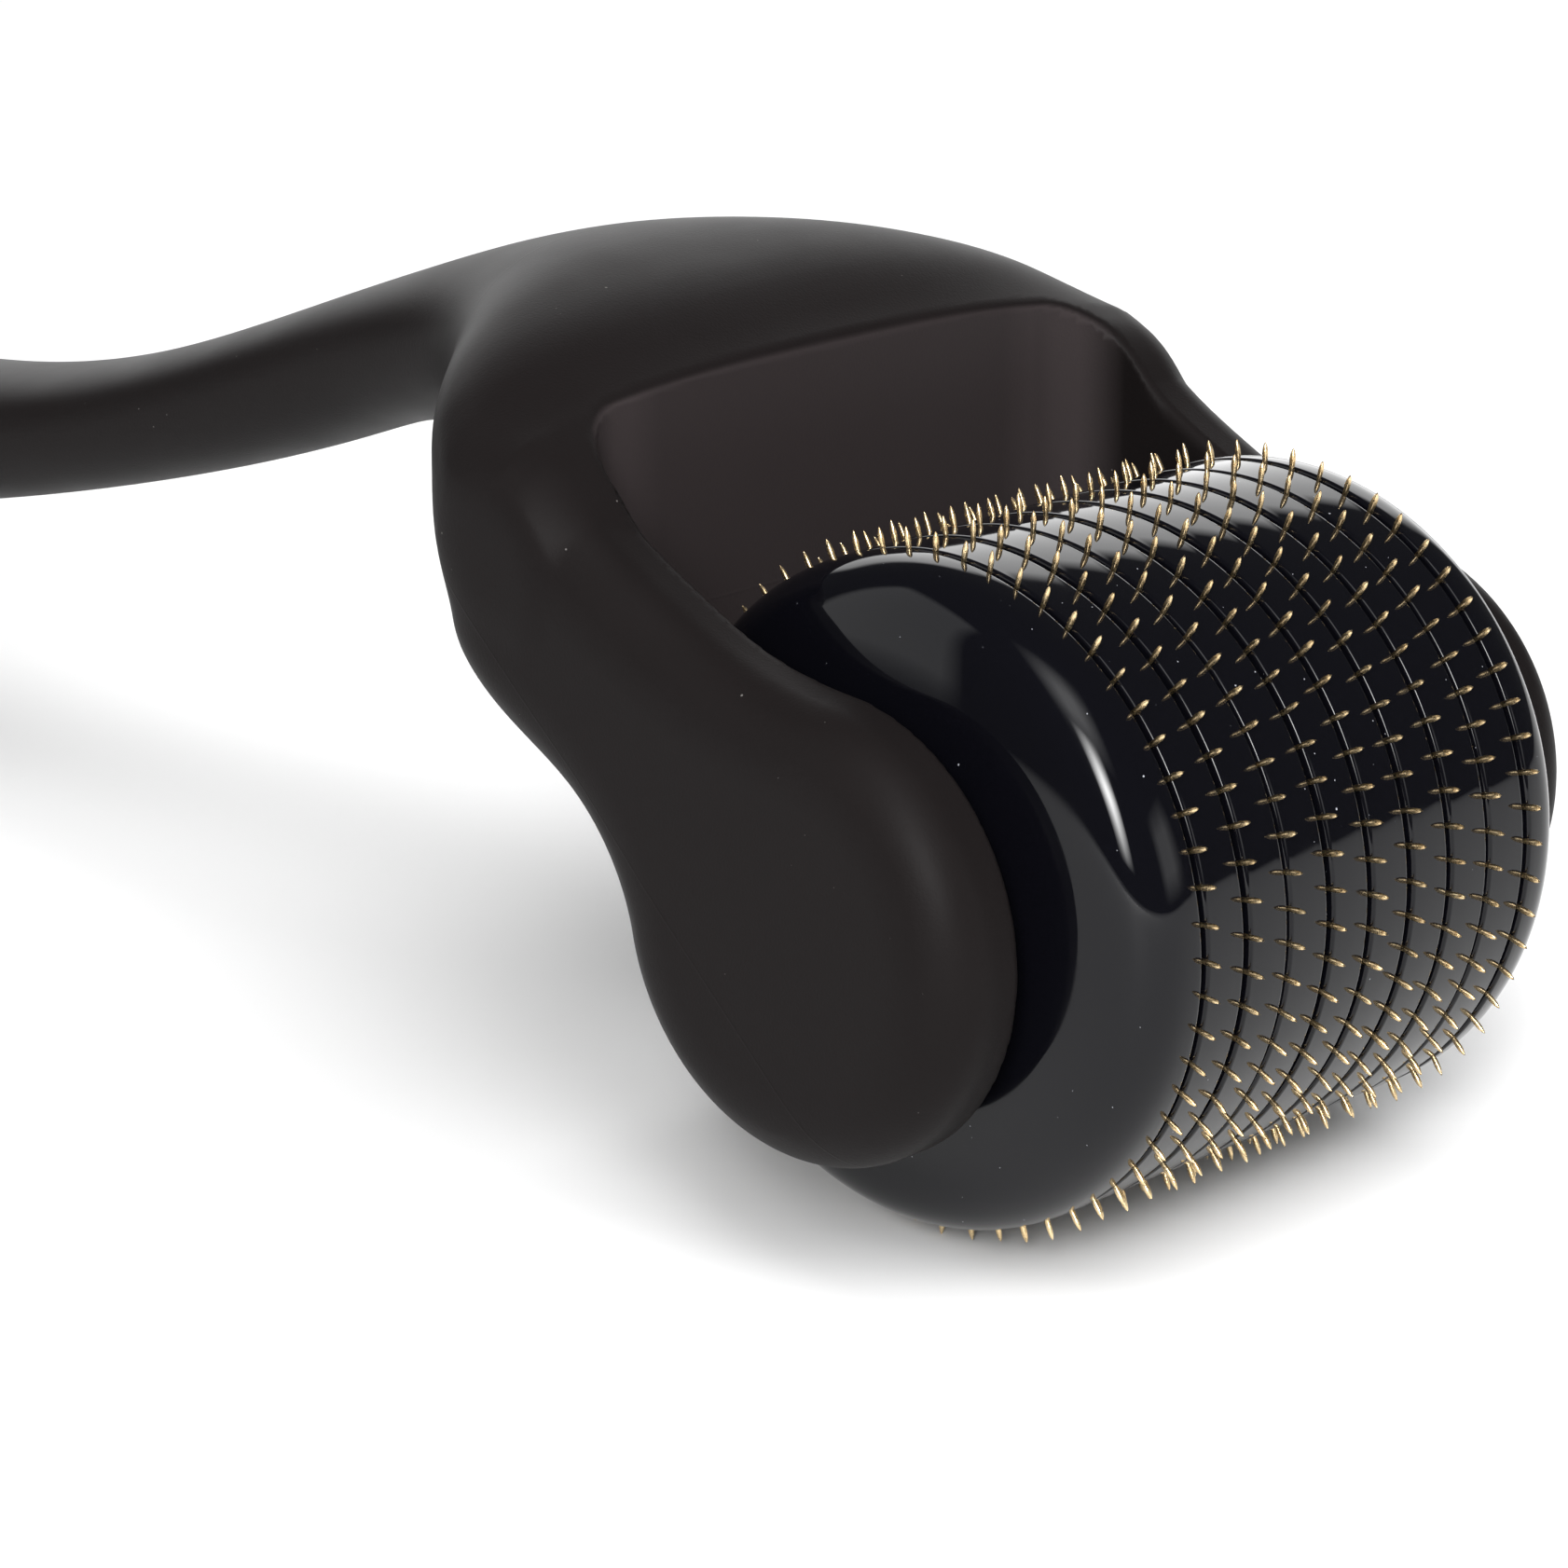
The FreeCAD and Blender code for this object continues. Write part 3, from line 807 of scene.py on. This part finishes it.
def aimed(name, data, right, back, place):
    """Camera or light in the scene, at a place in metres, looking against the direction `back`."""
    turn = np.eye(4)
    turn[:3, 0] = right
    turn[:3, 1] = np.cross(back, right)
    turn[:3, 2] = back
    turn[:3, 3] = place
    made = bpy.data.objects.new(name, data)
    made.matrix_world = Matrix(turn.tolist())
    bpy.context.scene.collection.objects.link(made)
    return made


def camera_at(azimuth, elevation, place_mm, lens):
    """Camera at a place in axle millimetres, with azimuth from the -Y side and no roll."""
    a, e = math.radians(azimuth), math.radians(elevation)
    right = np.array([math.cos(a), math.sin(a), 0])
    back = np.array([math.sin(a) * math.cos(e), -math.cos(a) * math.cos(e), math.sin(e)])
    data = bpy.data.cameras.new("camera")
    data.lens = lens
    data.sensor_width = 36.0
    data.clip_start = 0.005
    data.clip_end = 20.0
    bpy.context.scene.camera = aimed("camera", data, right, back, to_row(place_mm))


def soft_light(name, azimuth, elevation, distance, width, height, radiance,
               edge=0.0, in_gloss=True, in_diffuse=True):
    """Rectangular light facing the drum. Azimuth is from +X towards +Y, sizes in metres.

    With an edge share, the light fades out over that share of its size at each edge.
    """
    data = bpy.data.lights.new(name, "AREA")
    data.shape = "RECTANGLE"
    data.size = width
    data.size_y = height
    data.energy = radiance * math.pi * width * height
    a, e = math.radians(azimuth), math.radians(elevation)
    back = np.array([math.cos(a) * math.cos(e), math.sin(a) * math.cos(e), math.sin(e)])
    right = np.array([-math.sin(a), math.cos(a), 0])
    if edge:
        data.use_nodes = True
        t = Tree(data.node_tree)
        place = t.node("NewGeometry")
        split = t.node("SeparateXYZ")
        t.join(place.outputs["Parametric"], split.inputs[0])
        faded = 1.0
        for axis in (0, 1):
            off = t.math("ABSOLUTE", t.math("SUBTRACT", split.outputs[axis], 0.5))
            faded = t.math("MULTIPLY", t.between(off, 0.5 - edge, 0.5, 1.0, 0.0), faded)
        t.join(faded, data.node_tree.nodes["Emission"].inputs["Strength"])
    light = aimed(name, data, right, back, to_row((0, 0, 0)) + back * distance)
    light.visible_camera = False
    light.visible_glossy = in_gloss
    light.visible_diffuse = in_diffuse


def pale_floor():
    """Large pale floor at the height that the part stands on."""
    size = 3.0
    corners = [(-size, -size, 0), (size, -size, 0), (size, size, 0), (-size, size, 0)]
    mesh = bpy.data.meshes.new("floor")
    mesh.from_pydata(corners, [], [(0, 1, 2, 3)])
    material, _, shader = new_material("pale_floor")
    shader.inputs["Base Color"].default_value = (0.86, 0.86, 0.86, 1)
    shader.inputs["Roughness"].default_value = 0.7
    shader.inputs["Specular IOR Level"].default_value = 0.2
    floor = show("floor", mesh, material)


camera_at(44.72, 17.70, (106.26, -122.34, 53.27), 119.4)
pale_floor()

world = bpy.data.worlds.new("studio")
bpy.context.scene.world = world
world.use_nodes = True
world.node_tree.nodes["Background"].inputs["Color"].default_value = (0.98, 0.99, 1.0, 1)
world.node_tree.nodes["Background"].inputs["Strength"].default_value = 0.08

soft_light("backdrop", 137, 18, 0.9, 1.15, 0.66, 2.3, edge=0.12, in_diffuse=False)
soft_light("strip", -54, 26, 0.6, 0.20, 0.42, 46.0, edge=0.46)
soft_light("right", 18, 15, 0.7, 0.50, 0.34, 1.6, edge=0.3)
soft_light("left", -134, 25, 0.8, 0.46, 0.75, 1.1, edge=0.12)
soft_light("top", -12, 62, 1.6, 1.50, 1.50, 4.4, in_gloss=False)
soft_light("front", -50, 57, 1.4, 1.00, 1.00, 3.4, edge=0.4)

bpy.context.scene.view_settings.view_transform = "Standard"
